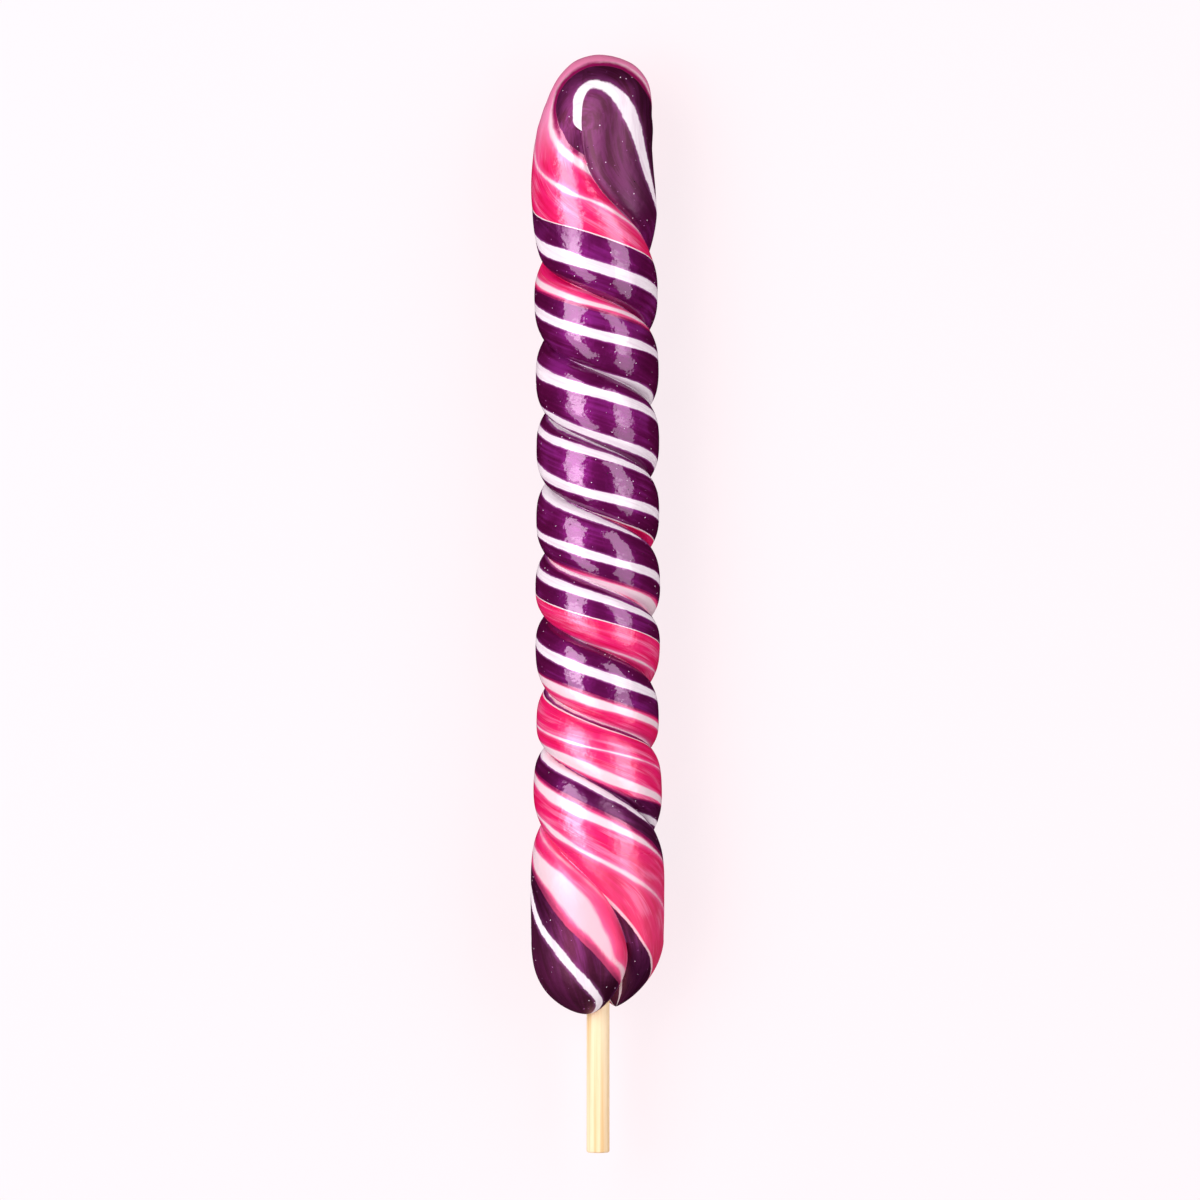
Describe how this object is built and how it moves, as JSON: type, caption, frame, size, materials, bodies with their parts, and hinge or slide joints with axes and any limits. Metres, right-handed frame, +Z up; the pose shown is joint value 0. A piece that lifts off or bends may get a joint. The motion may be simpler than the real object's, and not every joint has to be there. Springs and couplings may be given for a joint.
{
  "type": "twisted lollipop",
  "caption": "Long twisted candy lollipop: a striped sugar rope folded double and twisted round a plain wooden stick, lying on its back.",
  "frame": {"origin": "centre of the box round the part, on the surface that it lies on", "axes": "+Y along the lollipop from the end of the stick to the folded tip, +Z up out of the side that shows, +X to the right of that side"},
  "size_m": [0.0234, 0.1921, 0.0228],
  "materials": {
    "candy": "glossy boiled sugar",
    "stick": "plain smooth pale wood"
  },
  "bodies": {
    "root": {"candy": "candy", "stick": "stick"}
  },
  "joints": []
}
